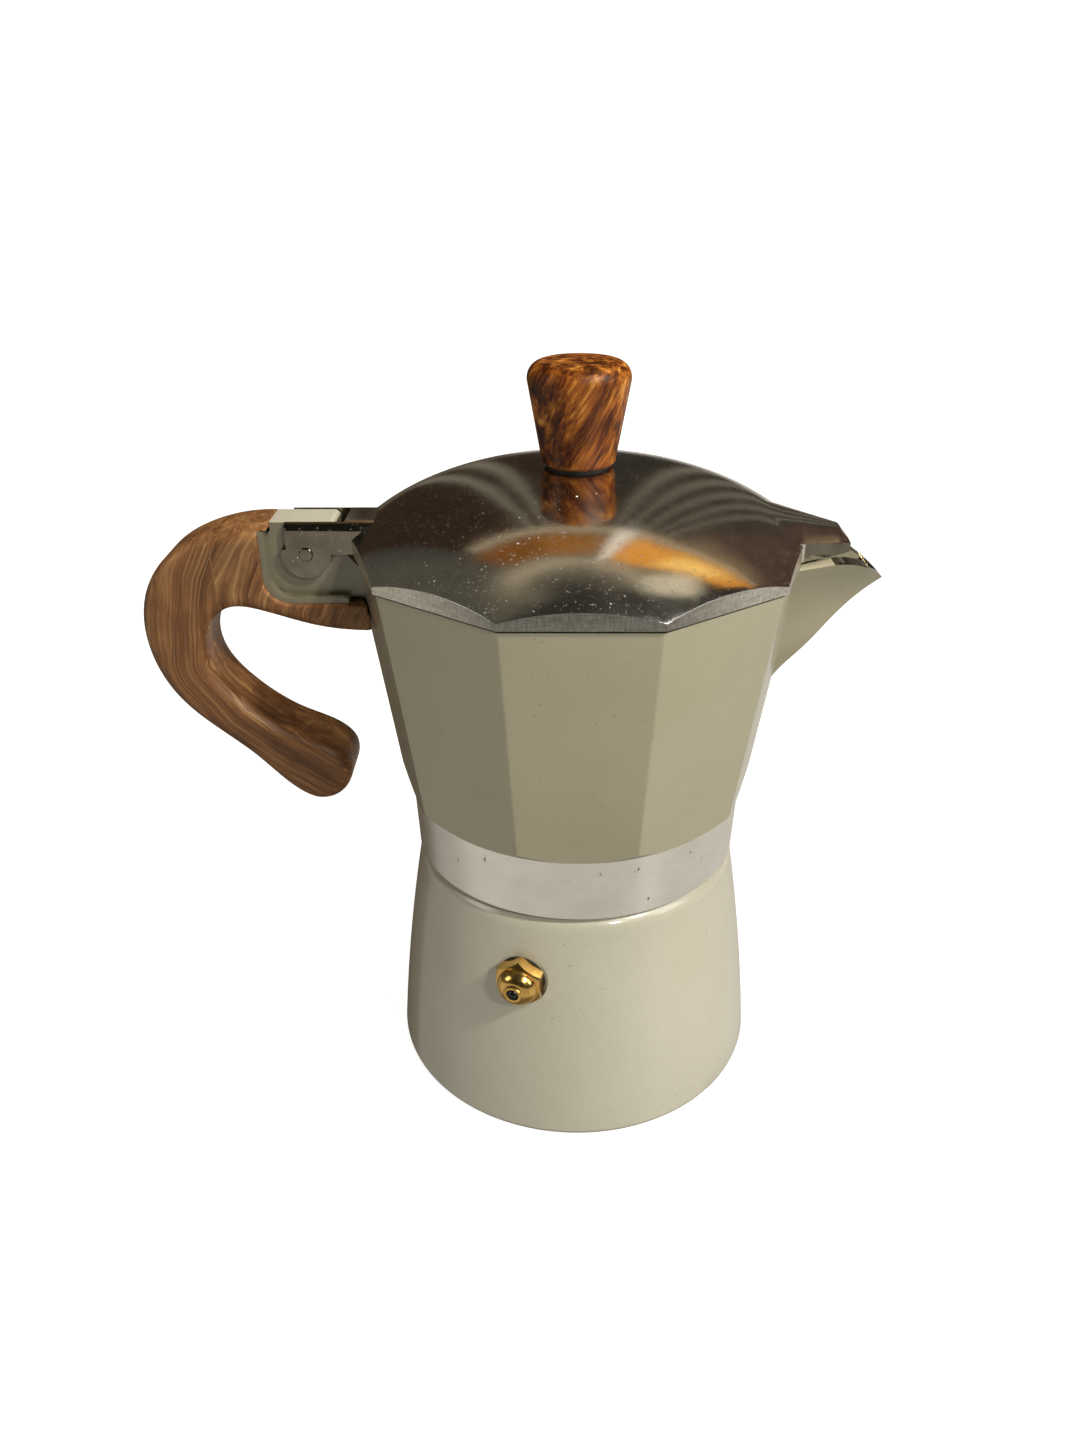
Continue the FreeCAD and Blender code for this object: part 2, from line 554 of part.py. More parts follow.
def spout_cover(shrink, foot_z):
    """Roof over the spout: upright sides, an arched top and a short slope at its end."""
    wires = []
    for x, half, side_z, ridge_z in COVER_SECTIONS:
        at_x = x - (shrink if x > LID_R else 0.0)
        low = [Vector(at_x, -half + shrink, foot_z), Vector(at_x, half - shrink, foot_z)]
        high = [Vector(v.x, v.y, side_z - shrink) for v in low]
        arch = Part.Arc(high[0], Vector(at_x, 0, ridge_z - shrink), high[1]).toShape()
        wires.append(Part.Wire([Part.LineSegment(low[0], high[0]).toShape(), arch,
                                Part.LineSegment(high[1], low[1]).toShape(),
                                Part.LineSegment(low[1], low[0]).toShape()]))
    return Part.makeLoft(wires, True, True)


def lid_arm():
    """Inverted channel that reaches back from the lid, with two round ears for the pin."""
    side = [(-38.0, PIN_Z), (ARM_END_X, PIN_Z), (ARM_END_X, ARM_TOP_Z), (-38.0, ARM_TOP_Z)]
    block = plate_y(side, ARM_W)
    block = rounded(block, 1.9, lambda e: e.BoundBox.ZMin > ARM_TOP_Z - 0.01
                    and e.BoundBox.XLength > 5)
    ears = cylinder_y(EAR_R, PIN_X, PIN_Z, ARM_W).common(slab(-70, -40, -9, 9, 110, PIN_Z + 1))
    channel = slab(-70, -20, -ARM_W + ARM_WALL, ARM_W - ARM_WALL, 100, ARM_TOP_Z - ARM_WALL)
    return block.fuse(ears).cut(channel)


def lid_shell():
    prism = Part.Face(decagon(LID_R, LID_Z0)).extrude(Vector(0, 0, 25))
    hollow = Part.Face(decagon(LID_R - 2.6, LID_Z0 - 1)).extrude(Vector(0, 0, 25))
    outside = dome(0.0).common(prism)
    outside = outside.fuse([lid_arm(), spout_cover(0.0, LID_Z0)])
    seat = Part.makeCylinder(LID_SEAT_R, 5, Vector(0, 0, LID_SEAT_Z))
    screw_hole = Part.makeCylinder(SCREW_R + 0.25, 20, Vector(0, 0, 128))
    pin_hole = cylinder_y(PIN_R + PIN_FIT, PIN_X, PIN_Z, 20)
    inside = dome(LID_SHEET).common(hollow)
    lug_slot = slab(-70, WEB_END_X, -ARM_W + ARM_WALL, ARM_W - ARM_WALL, 100, ARM_TOP_Z + 1)
    cuts = [inside, lug_slot, spout_cover(1.5, LID_Z0 - 2), seat, screw_hole, pin_hole]
    return outside.cut(cuts).removeSplitter()


def lid_knob():
    z0, z1 = KNOB_Z
    r0, r1 = KNOB_R
    knob = revolve([
        (0, z0), (r0 - 0.5, z0), (r0, z0 + 0.5), (r1, z1 - KNOB_ROUND - 1.0),
        (r1 - 0.75, z1 - 1.35, "mid"), (r1 - 3.0, z1 - 0.3), (2.0, z1), (0, z1)])
    return knob.cut(Part.makeCylinder(INSERT_R, INSERT_Z[1] - z0, Vector(0, 0, z0)))


def knob_insert():
    return ring(SCREW_R + SCREW_FIT, INSERT_R, INSERT_Z[0], INSERT_Z[1])


def knob_washer():
    return ring(SCREW_R + 0.2, 6.1, LID_SEAT_Z, KNOB_Z[0])


def knob_screw():
    return pan_screw(0, LID_UNDER_Z - 0.2, 147.5, 3.8, 2.2)


# ---- build --------------------------------------------------------------------------------
PIECES = [
    boiler_shell, valve_washer, valve_body, valve_retainer, valve_pin, valve_spring,
    funnel_basket, funnel_tube, funnel_strainer, gasket, filter_plate, collector_body,
    coffee_column, hinge_pin, handle_grip, handle_screw, handle_washer, lid_shell, lid_knob,
    knob_insert, knob_washer, knob_screw,
]

os.makedirs("parts", exist_ok=True)
for piece in PIECES:
    solid = piece()
    print(piece.__name__, len(solid.Solids), round(solid.Volume), solid.isValid())
    save(piece.__name__, solid)
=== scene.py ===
import json
import math

import bmesh
import bpy
import numpy as np
from mathutils import Matrix, Vector


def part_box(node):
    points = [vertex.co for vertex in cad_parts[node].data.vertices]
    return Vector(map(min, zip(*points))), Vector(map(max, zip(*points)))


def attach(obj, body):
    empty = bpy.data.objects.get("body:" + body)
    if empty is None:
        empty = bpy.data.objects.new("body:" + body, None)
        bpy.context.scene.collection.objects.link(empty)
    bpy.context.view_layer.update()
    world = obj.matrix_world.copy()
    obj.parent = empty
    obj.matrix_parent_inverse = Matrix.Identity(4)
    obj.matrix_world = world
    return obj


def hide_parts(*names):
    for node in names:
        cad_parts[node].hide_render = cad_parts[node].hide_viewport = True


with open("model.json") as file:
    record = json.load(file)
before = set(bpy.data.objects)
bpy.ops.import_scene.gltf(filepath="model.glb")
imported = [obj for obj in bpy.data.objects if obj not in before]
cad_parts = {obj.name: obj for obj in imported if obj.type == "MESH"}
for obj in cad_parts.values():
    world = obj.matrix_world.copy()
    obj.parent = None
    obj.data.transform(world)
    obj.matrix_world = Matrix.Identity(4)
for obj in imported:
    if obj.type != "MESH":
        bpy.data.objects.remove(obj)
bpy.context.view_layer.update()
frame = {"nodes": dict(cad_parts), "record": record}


scene = bpy.context.scene
RECORD = frame["record"]
BODY_OF = {n: b for b, members in RECORD["behaviour"]["bodies"].items() for n in members}
MM = 0.001

collector_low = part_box("collector_body")[0]
lid_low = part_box("lid_shell")[0]
grip_low, grip_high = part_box("handle_grip")

# ---- where one finish ends and the next begins, in metres of the row frame --------------------
SKIRT_HEIGHT = 14.9 * MM        # bare band below the collector's paint
PAINT_EDGE_Z = collector_low.z + SKIRT_HEIGHT
SHOULDER_Z = collector_low.z - 0.25 * MM    # boiler's paint stops just under the skirt
SKIRT_BORE_R = 34 * MM          # between the skirt's bore and its outside
SKIRT_R = 36 * MM               # the collector's underside lies within this radius
CHAMBER_R = 45.5 * MM           # the collector's inside faces lie within this radius
CHAMBER_FLOOR_R = 45 * MM
LUG_START_X = -44 * MM          # the hinge lug and its pocket lie beyond this
POCKET_X = -46.9 * MM           # the lug's recessed sides, with painted shade, start here
LUG_CREST_Z = 127.9 * MM        # the pocket's painted shade stops below this; the lug's top is painted lighter
SPOUT_BARE_X = 47 * MM          # bare metal on top of the spout's rim beyond this
ARM_X = -44.5 * MM              # the lid's hinge arm lies beyond this
ARM_HALF_WIDTH = 6.2 * MM
LID_SIDE_R = 43.5 * MM          # the lid's upright rim facets lie outside this radius
SPOUT_ROOF_X = 44 * MM          # the lid's roof over the spout starts here
LID_EDGE_R = 43 * MM            # edges outside this radius, but not this far along X, are rounded
LID_EDGE_ROUND = 0.8            # width of that rounding, in millimetres


# ---- shader building ------------------------------------------------------------------------
def srgb(r, g, b):
    """Linear colour of an 8-bit display colour."""
    def linear(v):
        v /= 255.0
        return v / 12.92 if v <= 0.04045 else ((v + 0.055) / 1.055) ** 2.4
    return (linear(r), linear(g), linear(b), 1.0)


class Shader:
    """Builds one material. Vectors are in millimetres of the row frame."""

    def __init__(self, name, **surface):
        self.material = bpy.data.materials.new(name)
        self.material.use_nodes = True
        self.tree = self.material.node_tree
        self.surface = self.tree.nodes["Principled BSDF"]
        for key, value in surface.items():
            label = key.replace("_", " ").title().replace("Ior", "IOR")
            self.surface.inputs[label].default_value = value

    def node(self, kind, **settings):
        made = self.tree.nodes.new("ShaderNode" + kind)
        for key, value in settings.items():
            setattr(made, key, value)
        return made

    def feed(self, socket, value):
        """Link a socket, or set it to a plain value."""
        if isinstance(value, bpy.types.NodeSocket):
            self.tree.links.new(value, socket)
        else:
            socket.default_value = value

    def to(self, name, value):
        self.feed(self.surface.inputs[name], value)

    def place(self, scale=(1, 1, 1), turn=(0, 0, 0), shift=(0, 0, 0), attribute=None):
        """Position in millimetres, turned and then stretched."""
        if attribute:
            start = self.node("Attribute", attribute_name=attribute).outputs["Vector"]
        else:
            start = self.node("TexCoord").outputs["Object"]
        grow = self.node("Mapping")
        self.feed(grow.inputs["Vector"], start)
        unit = 1.0 if attribute else 1000.0
        grow.inputs["Scale"].default_value = (unit, unit, unit)
        grow.inputs["Rotation"].default_value = turn
        stretch = self.node("Mapping")
        self.feed(stretch.inputs["Vector"], grow.outputs["Vector"])
        stretch.inputs["Scale"].default_value = scale
        stretch.inputs["Location"].default_value = shift
        return stretch.outputs["Vector"]

    def noise(self, vector, scale=1.0, detail=3.0, rough=0.5, distortion=0.0):
        made = self.node("TexNoise")
        self.feed(made.inputs["Vector"], vector)
        made.inputs["Scale"].default_value = scale
        made.inputs["Detail"].default_value = detail
        made.inputs["Roughness"].default_value = rough
        made.inputs["Distortion"].default_value = distortion
        return made.outputs["Fac"]

    def ramp(self, factor, *stops):
        """Colour ramp. A stop is (position, colour) or (position, grey)."""
        made = self.node("ValToRGB")
        self.feed(made.inputs["Fac"], factor)
        elements = made.color_ramp.elements
        while len(elements) < len(stops):
            elements.new(0.5)
        for element, (position, colour) in zip(elements, stops):
            element.position = position
            element.color = colour if hasattr(colour, "__len__") else (colour, colour, colour, 1)
        return made.outputs["Color"]

    def mix(self, factor, a, b, blend="MIX"):
        made = self.node("Mix", data_type="RGBA", blend_type=blend)
        self.feed(made.inputs["Factor"], factor)
        self.feed(made.inputs[6], a)
        self.feed(made.inputs[7], b)
        return made.outputs[2]

    def math(self, operation, a, b=0.0):
        made = self.node("Math", operation=operation)
        self.feed(made.inputs[0], a)
        self.feed(made.inputs[1], b)
        return made.outputs[0]

    def bump(self, height, depth, strength=1.0, below=None):
        """Relief from a height of 0 to 1; the depth is in millimetres."""
        made = self.node("Bump")
        made.inputs["Strength"].default_value = strength
        made.inputs["Distance"].default_value = depth * MM
        self.feed(made.inputs["Height"], height)
        if below is not None:
            self.feed(made.inputs["Normal"], below)
        return made.outputs["Normal"]


# ---- materials ------------------------------------------------------------------------------
KNOB_GRAIN_LEAN = -32.0         # degrees that the knob's streaks lean to the side


def enamel(name, light, dark, speck):
    """Satin enamel on cast metal: faint clouds of colour, orange peel and a few dust specks."""
    s = Shader(name, coat_weight=0.85, coat_roughness=0.13)
    clouds = s.noise(s.place(), 0.035, 4, 0.6)
    fine = s.noise(s.place(), 0.9, 3, 0.6)
    body = s.ramp(clouds, (0.35, dark), (0.65, light))
    body = s.mix(s.ramp(fine, (0.3, 0.0), (0.75, 0.22)), body, speck)
    dust = s.ramp(s.noise(s.place(), 1.7, 1, 0.3), (0.765, 0.0), (0.79, 0.55))
    s.to("Base Color", s.mix(dust, body, srgb(96, 88, 70)))
    s.to("Roughness", s.ramp(fine, (0.2, 0.36), (0.8, 0.46)))
    peel = s.noise(s.place(), 0.75, 2, 0.4)
    grit = s.noise(s.place(), 4.0, 2, 0.5)
    s.to("Normal", s.bump(grit, 0.006, 0.5, s.bump(peel, 0.03, 0.5)))
    return s.material


def polished(name, light, dark, pit):
    """Buffed aluminium: mirror-like, with sparkling pits, buffing haze and a soft grain."""
    s = Shader(name, metallic=1.0)
    haze = s.noise(s.place(), 0.12, 5, 0.62)
    grain = s.noise(s.place(), 5.5, 4, 0.7)
    orange_peel = s.noise(s.place(), 1.6, 2, 0.5)
    pits = s.ramp(s.noise(s.place(), 2.2, 1, 0.4), (0.70, 0.0), (0.76, 1.0))
    colour = s.ramp(haze, (0.3, dark), (0.7, light))
    s.to("Base Color", s.mix(pits, colour, pit))
    rough = s.ramp(haze, (0.3, 0.07), (0.7, 0.12))
    s.to("Roughness", s.mix(s.ramp(grain, (0.45, 0.0), (0.8, 0.6)), rough, (0.45, 0.45, 0.45, 1)))
    relief = s.bump(haze, 0.05, 0.1, s.bump(orange_peel, 0.010, 0.35))
    s.to("Normal", s.bump(pits, 0.10, 0.8, s.bump(grain, 0.007, 0.3, relief)))
    return s.material


def machined():
    """Filed rim facets: upright tool marks crossed by level ones, darker near the middle as a
    painted dark reflection.
    """
    s = Shader("machined_rim", metallic=1.0)
    marks = s.noise(s.place(scale=(1.0, 1.0, 0.25)), 3.4, 4, 0.65)
    lines = s.noise(s.place(scale=(0.12, 0.12, 1.0)), 2.6, 3, 0.6)
    both = s.math("MULTIPLY", marks, s.math("ADD", lines, 0.35))
    bare = s.ramp(both, (0.2, srgb(166, 162, 150)), (0.6, srgb(240, 236, 228)))
    # painted dark reflection: facets near x = 0, front and back, get a darker base colour
    apart = s.node("SeparateXYZ")
    s.feed(apart.inputs[0], s.place(scale=(0.025, 0.025, 0.025)))
    beside_middle = s.math("ABSOLUTE", apart.outputs[0])
    painted_dark_reflection = s.ramp(beside_middle, (0.35, 0.40), (0.8, 1.0))
    s.to("Base Color", s.mix(1.0, bare, painted_dark_reflection, "MULTIPLY"))
    s.to("Roughness", s.ramp(marks, (0.3, 0.28), (0.7, 0.48)))
    s.to("Normal", s.bump(both, 0.05, 0.7))
    return s.material


def turned_band():
    """Lathe-turned bare skirt: fine rings round Z, faint oxide and a few dark nicks."""
    s = Shader("turned_band", metallic=1.0)
    rings = s.noise(s.place(scale=(0.015, 0.015, 1.0)), 7.0, 4, 0.7)
    cloud = s.noise(s.place(scale=(1, 1, 1.4)), 0.16, 4, 0.6)
    base = s.ramp(cloud, (0.3, srgb(236, 233, 227)), (0.7, srgb(245, 243, 238)))
    base = s.mix(s.ramp(rings, (0.35, 0.25), (0.5, 0.0)), base, srgb(196, 192, 184))
    nick_field = s.noise(s.place(scale=(1.0, 1.0, 0.6), shift=(3.1, 0, 0)), 0.6, 5, 0.72)
    nicks = s.ramp(nick_field, (0.662, 0.0), (0.685, 0.85))
    s.to("Base Color", s.mix(nicks, base, srgb(70, 64, 52)))
    s.to("Roughness", s.ramp(rings, (0.3, 0.26), (0.7, 0.36)))
    s.to("Normal", s.bump(nicks, -0.04, 0.6, s.bump(rings, 0.012, 0.4)))
    return s.material


def satin_aluminium():
    """Unpainted inside of the castings and spun sheet: matt, faintly mottled."""
    s = Shader("satin_aluminium", metallic=1.0)
    mottle = s.noise(s.place(), 0.3, 5, 0.65)
    fine = s.noise(s.place(), 3.0, 3, 0.6)
    s.to("Base Color", s.ramp(mottle, (0.3, srgb(168, 165, 160)), (0.7, srgb(205, 202, 197))))
    s.to("Roughness", s.ramp(fine, (0.3, 0.38), (0.7, 0.55)))
    s.to("Normal", s.bump(fine, 0.02, 0.5))
    return s.material


def wood_handle():
    """Wood-print phenolic: streaks that follow the hook, from coordinates kept per vertex."""
    s = Shader("wood_handle", specular_ior_level=0.35)
    sway = s.noise(s.place(scale=(0.09, 0.03, 0.06), attribute="grain"), 1.0, 3, 0.5)
    bent = s.math("MULTIPLY", s.math("SUBTRACT", sway, 0.5), 4.0)
    shift = s.node("CombineXYZ")
    s.feed(shift.inputs[0], bent)
    warped = s.node("VectorMath", operation="ADD")
    s.feed(warped.inputs[0], s.place(attribute="grain"))
    s.feed(warped.inputs[1], shift.outputs[0])

    def streaks(across, along, through, detail, rough):
        grow = s.node("Mapping")
        s.feed(grow.inputs["Vector"], warped.outputs[0])
        grow.inputs["Scale"].default_value = (across, along, through)
        return s.noise(grow.outputs["Vector"], 1.0, detail, rough)
    broad = streaks(0.28, 0.02, 0.16, 3, 0.6)
    medium = streaks(1.2, 0.03, 0.4, 3, 0.6)
    fine = streaks(4.2, 0.09, 1.2, 2, 0.6)
    streak = s.mix(0.6, broad, s.mix(0.5, medium, fine))
    cloud = s.noise(s.place(), 0.07, 3, 0.55)
    tones = (srgb(88, 55, 31), srgb(122, 81, 48), srgb(152, 107, 66), srgb(196, 154, 102))
    deep, brown, warm, light = tones
    body = s.ramp(streak, (0.36, deep), (0.46, brown), (0.55, warm), (0.66, light))
    shade = s.ramp(cloud, (0.3, 0.68), (0.7, 1.08))
    colour = s.mix(1.0, body, shade, "MULTIPLY")
    flame = s.ramp(streaks(0.5, 0.16, 0.3, 3, 0.6), (0.50, 0.0), (0.62, 0.35))
    colour = s.mix(flame, colour, srgb(92, 56, 30))
    pale = s.ramp(streaks(2.8, 0.03, 0.8, 2, 0.5), (0.60, 0.0), (0.72, 0.4))
    s.to("Base Color", s.mix(pale, colour, srgb(204, 162, 106)))
    s.to("Roughness", s.ramp(fine, (0.3, 0.42), (0.7, 0.54)))
    s.to("Normal", s.bump(fine, 0.015, 0.3))
    return s.material


def wood_knob():
    """Wood-print knob: more orange than the handle, with slanting black-brown streaks."""
    s = Shader("wood_knob", specular_ior_level=0.28)
    turn = (0.0, math.radians(KNOB_GRAIN_LEAN), 0.0)
    broad = s.noise(s.place(scale=(1.0, 1.0, 0.09), turn=turn), 0.42, 2, 0.5, 0.6)
    middle_size = s.noise(s.place(scale=(1.0, 1.0, 0.06), turn=turn), 1.15, 2, 0.5, 0.3)
    fine = s.noise(s.place(scale=(1.0, 1.0, 0.05), turn=turn), 3.6, 3, 0.6)
    streak = s.mix(0.5, broad, s.mix(0.4, middle_size, fine))
    tones = (srgb(34, 11, 2), srgb(92, 43, 9), srgb(160, 92, 28), srgb(222, 160, 74))
    deep, brown, warm, pale = tones
    body = s.ramp(streak, (0.36, deep), (0.46, brown), (0.55, warm), (0.66, pale))
    shade = s.ramp(s.noise(s.place(), 0.12, 2, 0.5), (0.35, 0.72), (0.65, 1.05))
    s.to("Base Color", s.mix(1.0, body, shade, "MULTIPLY"))
    s.to("Roughness", s.ramp(fine, (0.3, 0.40), (0.7, 0.52)))
    s.to("Normal", s.bump(fine, 0.03, 0.4))
    return s.material


def brass():
    """Turned brass: bright and smooth, with faint clouds."""
    s = Shader("turned_brass", metallic=1.0)
    fine = s.noise(s.place(), 2.4, 4, 0.65)
    cloud = s.noise(s.place(), 0.5, 3, 0.5)
    s.to("Base Color", s.ramp(cloud, (0.3, srgb(204, 160, 84)), (0.7, srgb(232, 194, 116))))
    s.to("Roughness", s.ramp(fine, (0.3, 0.14), (0.7, 0.26)))
    s.to("Normal", s.bump(fine, 0.005, 0.3))
    return s.material


def steel(name, light, dark, rough):
    """Drawn or turned steel with fine marks that run along Y."""
    s = Shader(name, metallic=1.0)
    fine = s.noise(s.place(scale=(1, 0.3, 1)), 3.0, 4, 0.65)
    s.to("Base Color", s.ramp(fine, (0.3, dark), (0.7, light)))
    s.to("Roughness", s.ramp(fine, (0.3, rough), (0.7, rough + 0.14)))
    s.to("Normal", s.bump(fine, 0.015, 0.4))
    return s.material


def rubber(name, light, dark):
    """Matt moulded rubber or silicone, faintly mottled."""
    s = Shader(name)
    fine = s.noise(s.place(), 1.6, 4, 0.6)
    s.to("Base Color", s.ramp(fine, (0.3, dark), (0.7, light)))
    s.to("Roughness", s.ramp(fine, (0.3, 0.6), (0.7, 0.75)))
    s.to("Normal", s.bump(fine, 0.03, 0.4))
    return s.material


# painted shade: a darker copy of the collector enamel for the lug's pocket, standing in for the
# shadow the pot casts there
POCKET_SHADE_PAINT = enamel(
    "pocket_painted_shade_enamel", srgb(124, 119, 98), srgb(108, 103, 82), srgb(92, 88, 70))
COLLECTOR_PAINT = enamel(
    "collector_enamel", srgb(176, 171, 145), srgb(170, 164, 138), srgb(163, 157, 130))
BOILER_PAINT = enamel(
    "boiler_enamel", srgb(203, 200, 183), srgb(197, 194, 176), srgb(189, 185, 166))
POLISHED = polished(
    "polished_aluminium", srgb(226, 224, 219), srgb(206, 203, 197), srgb(250, 248, 244))
# darker copy of the polished aluminium: painted dark reflection on the lid's hinge arm and pin;
# darker bare metal on the spout's rim and the lid's roof over it
DARK_ALUMINIUM = polished(
    "dark_aluminium", srgb(140, 134, 120), srgb(104, 98, 84), srgb(180, 174, 162))
MACHINED = machined()
BAND = turned_band()
SATIN = satin_aluminium()
WOOD_HANDLE = wood_handle()
WOOD_KNOB = wood_knob()
BRASS = brass()
STEEL = steel("bright_steel", srgb(205, 204, 202), srgb(168, 167, 165), 0.2)
DARK_STEEL = steel("dark_steel", srgb(70, 70, 70), srgb(44, 44, 44), 0.22)
SILICONE = rubber("silicone", srgb(232, 228, 218), srgb(220, 214, 202))
BLACK_RUBBER = rubber("black_rubber", srgb(46, 44, 42), srgb(34, 33, 32))


# ---- pieces ---------------------------------------------------------------------------------
def clean_copy(node, name):
    """A separate object with the CAD node's shape, its vertices merged and flat faces joined."""
    mesh = frame["nodes"][node].data.copy()
    mesh.name = name
    mesh.materials.clear()
    if "custom_normal" in mesh.attributes:
        mesh.attributes.remove(mesh.attributes["custom_normal"])
    work = bmesh.new()
    work.from_mesh(mesh)
    bmesh.ops.remove_doubles(work, verts=work.verts, dist=2e-6)
    bmesh.ops.dissolve_limit(
        work, angle_limit=math.radians(0.3), verts=work.verts, edges=work.edges)
    work.to_mesh(mesh)
    work.free()
    piece = bpy.data.objects.new(name, mesh)
    scene.collection.objects.link(piece)
    return piece


def stand_for(piece, node):
    """The piece replaces its CAD node and moves with the node's body."""
    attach(piece, BODY_OF[node])
    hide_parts(node)
    return piece


def smooth(piece, angle):
    """Smooth shading that keeps edges sharper than an angle."""
    piece.data.shade_smooth()
    piece.data.set_sharp_from_angle(angle=math.radians(angle))


def apply_modifiers(piece):
    """Bake the piece's modifiers into its mesh."""
    bpy.context.view_layer.update()
    graph = bpy.context.evaluated_depsgraph_get()
    baked = bpy.data.meshes.new_from_object(piece.evaluated_get(graph))
    piece.modifiers.clear()
    old = piece.data
    piece.data = baked
    bpy.data.meshes.remove(old)
    baked.name = piece.name


def round_edges(piece, width, chosen):
    """Round the sharp edges whose middle chosen() accepts; width is in millimetres."""
    sharp_from = math.radians(30)
    work = bmesh.new()
    work.from_mesh(piece.data)
    weight = work.edges.layers.float.new("bevel_weight_edge")
    for edge in work.edges:
        sharp = edge.is_manifold and edge.calc_face_angle(0.0) > sharp_from
        middle = (edge.verts[0].co + edge.verts[1].co) / 2
        edge[weight] = 1.0 if sharp and chosen(middle) else 0.0
    work.to_mesh(piece.data)
    work.free()
    bevel = piece.modifiers.new("break_edges", "BEVEL")
    bevel.width = width * MM
    bevel.segments = 3
    bevel.limit_method = "WEIGHT"
    bevel.use_clamp_overlap = True
    apply_modifiers(piece)


def paint_faces(piece, materials, choose):
    """Give each face what choose(centre, normal) returns, which is one of the materials."""
    index_of = {}
    for index, material in enumerate(materials):
        piece.data.materials.append(material)
        index_of[material.name] = index
    for face in piece.data.polygons:
        face.material_index = index_of[choose(face.center, face.normal).name]


def boiler():
    """Enamel outside and underneath; bare metal inside and on the threaded neck."""
    piece = clean_copy("boiler_shell", "boiler_casting")

    def choose(centre, normal):
        outward = normal.x * centre.x + normal.y * centre.y
        outside = outward > 0 or normal.z < -0.5 and centre.z < 1 * MM
        return BOILER_PAINT if outside and centre.z < SHOULDER_Z else SATIN
    paint_faces(piece, [BOILER_PAINT, SATIN], choose)
    smooth(piece, 28)
    return stand_for(piece, "boiler_shell")


def collector():
    """Bare skirt, inside and spout rim; enamel facets, with painted shade in the lug's pocket and
    a painted lighter top on the lug.
    """
    piece = clean_copy("collector_body", "collector_casting")

    def choose(centre, normal):
        radius = math.hypot(centre.x, centre.y)
        outward = (normal.x * centre.x + normal.y * centre.y) / max(radius, 1e-6)
        if centre.z < PAINT_EDGE_Z + 0.02 * MM:
            return BAND if outward > 0.2 and radius > SKIRT_BORE_R else SATIN
        inside = outward < -0.2 and radius < CHAMBER_R and abs(centre.x) < CHAMBER_R
        under = normal.z < -0.6 and radius < SKIRT_R
        floor = normal.z > 0.8 and radius < CHAMBER_FLOOR_R and centre.x > LUG_START_X
        if inside or under or floor:
            return SATIN
        # painted shade: the lug's pocket below its crest gets the darker enamel
        if centre.x < POCKET_X and centre.z < LUG_CREST_Z:
            return POCKET_SHADE_PAINT
        # painted light: the lug's upward faces get the paler boiler enamel, standing in for
        # strong light from above
        if centre.x < POCKET_X and normal.z > 0.7:
            return BOILER_PAINT
        return DARK_ALUMINIUM if centre.x > SPOUT_BARE_X and normal.z > 0.5 else COLLECTOR_PAINT
    finishes = [COLLECTOR_PAINT, BAND, SATIN, POCKET_SHADE_PAINT, DARK_ALUMINIUM, BOILER_PAINT]
    paint_faces(piece, finishes, choose)
    smooth(piece, 25)
    return stand_for(piece, "collector_body")


def lid():
    """Polished dome with a rounded rim, filed rim facets, a darker hinge arm as painted dark
    reflection, and darker spout roof sides.
    """
    piece = clean_copy("lid_shell", "lid_casting")

    def choose(centre, normal):
        # painted dark reflection: the hinge arm gets the darker aluminium
        if abs(centre.y) < ARM_HALF_WIDTH and centre.x < ARM_X:
            return DARK_ALUMINIUM
        if abs(normal.z) > 0.05 or math.hypot(centre.x, centre.y) < LID_SIDE_R:
            return POLISHED
        return DARK_ALUMINIUM if centre.x > SPOUT_ROOF_X else MACHINED
    paint_faces(piece, [POLISHED, MACHINED, DARK_ALUMINIUM], choose)

    def on_rim(middle):
        rim = math.hypot(middle.x, middle.y) > LID_EDGE_R
        return rim and abs(middle.x) < LID_EDGE_R and middle.z > lid_low.z + 0.1 * MM
    round_edges(piece, LID_EDGE_ROUND, on_rim)
    smooth(piece, 25)
    return stand_for(piece, "lid_shell")


# Shares (x, z) of the grip's box. Grain lines run beside these two paths.
HOOK_EYE = (0.345, 0.655)
HOOK_BELOW = [HOOK_EYE, (0.33, 0.53), (0.46, 0.40), (0.72, 0.255), (1.10, 0.06)]
HOOK_ABOVE = [HOOK_EYE, (0.385, 0.80), (0.47, 0.93), (0.66, 1.12)]


def beside(points, path):
    """Distance from a path and the run along it to the nearest place."""
    nearest = np.full(len(points), np.inf)
    along = np.zeros(len(points))
    run = 0.0
    for a, b in zip(path, path[1:]):
        span = b - a
        length = np.linalg.norm(span)
        t = np.clip((points - a) @ span / length ** 2, 0, 1)
        gap = np.linalg.norm(points - (a + t[:, None] * span), axis=1)
        along = np.where(gap < nearest, run + t * length, along)
        nearest = np.minimum(nearest, gap)
        run += length
    return nearest, along


def grain_coordinates(points):
    """Across, along and through the grain, in millimetres, for points on the handle.

    Grain lines nest round the hook's eye; above the eye and towards the lug they stand up."""
    size = grip_high - grip_low
    flat = points[:, [0, 2]]

    def placed(path):
        return np.array([(grip_low.x + fx * size.x, grip_low.z + fz * size.z) for fx, fz in path])
    below, below_run = beside(flat, placed(HOOK_BELOW))
    upper = placed(HOOK_ABOVE)
    above, above_run = beside(flat, upper)
    lean = np.interp(flat[:, 1], upper[:, 1], upper[:, 0])
    right = (flat[:, 1] > upper[0][1]) & (flat[:, 0] > lean)
    right |= (flat[:, 0] > upper[0][0]) & (flat[:, 1] > grip_low.z + 0.56 * size.z)
    across = np.where(right, -above, np.minimum(below, above))
    along = np.where(right | (above < below), above_run, -below_run)
    return np.stack([across, along, points[:, 1]], axis=1) / MM


